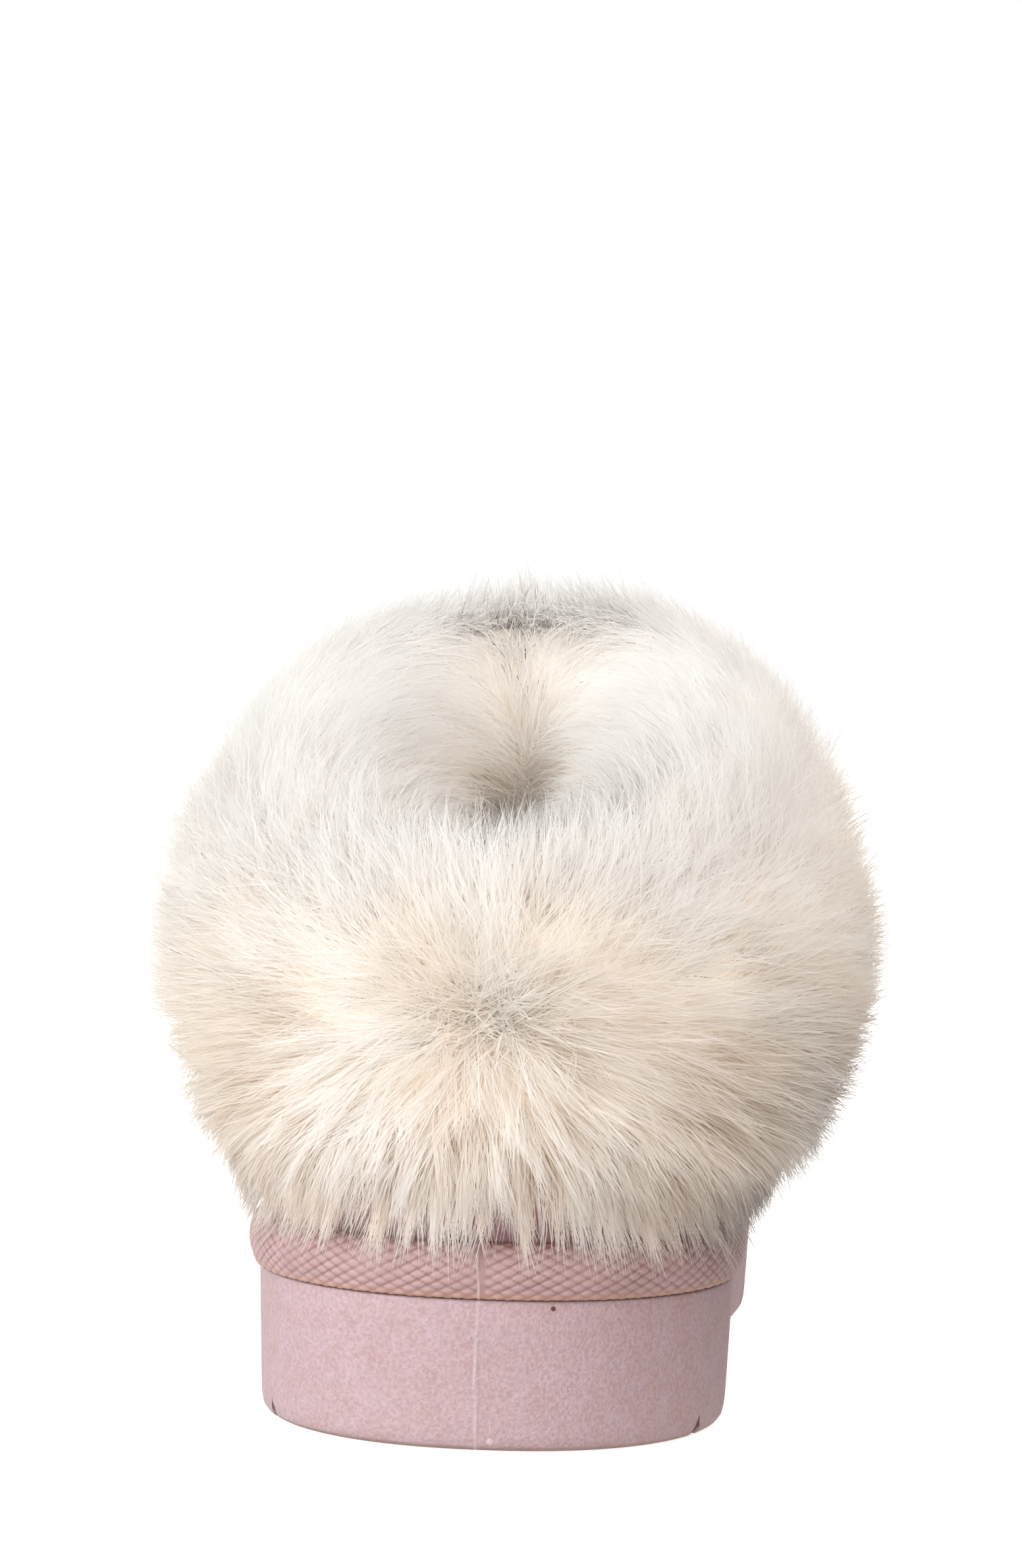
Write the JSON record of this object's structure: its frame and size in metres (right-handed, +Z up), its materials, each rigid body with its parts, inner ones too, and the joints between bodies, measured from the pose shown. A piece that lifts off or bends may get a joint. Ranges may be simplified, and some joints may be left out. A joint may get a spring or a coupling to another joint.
{
  "type": "faux fur bootie",
  "caption": "Right platform slipper bootie with a moulded sole, a scale-textured band, a suede upper and a deep faux fur cuff round a small collar.",
  "frame": {"origin": "on the floor under the middle of the heel seat", "axes": "+Y from the heel to the toe, +X to the outer (little toe) side of this right shoe, +Z up"},
  "size_m": [0.1209, 0.2754, 0.1347],
  "materials": {
    "sole": "matt moulded foam rubber, pale pink, fine grain",
    "insole": "short cream plush",
    "upper": "dusty pink suede",
    "fur": "long pile cream faux fur"
  },
  "bodies": {
    "root": {"sole": "sole", "insole": "insole", "upper": "upper", "fur_cuff": "fur"}
  },
  "joints": []
}
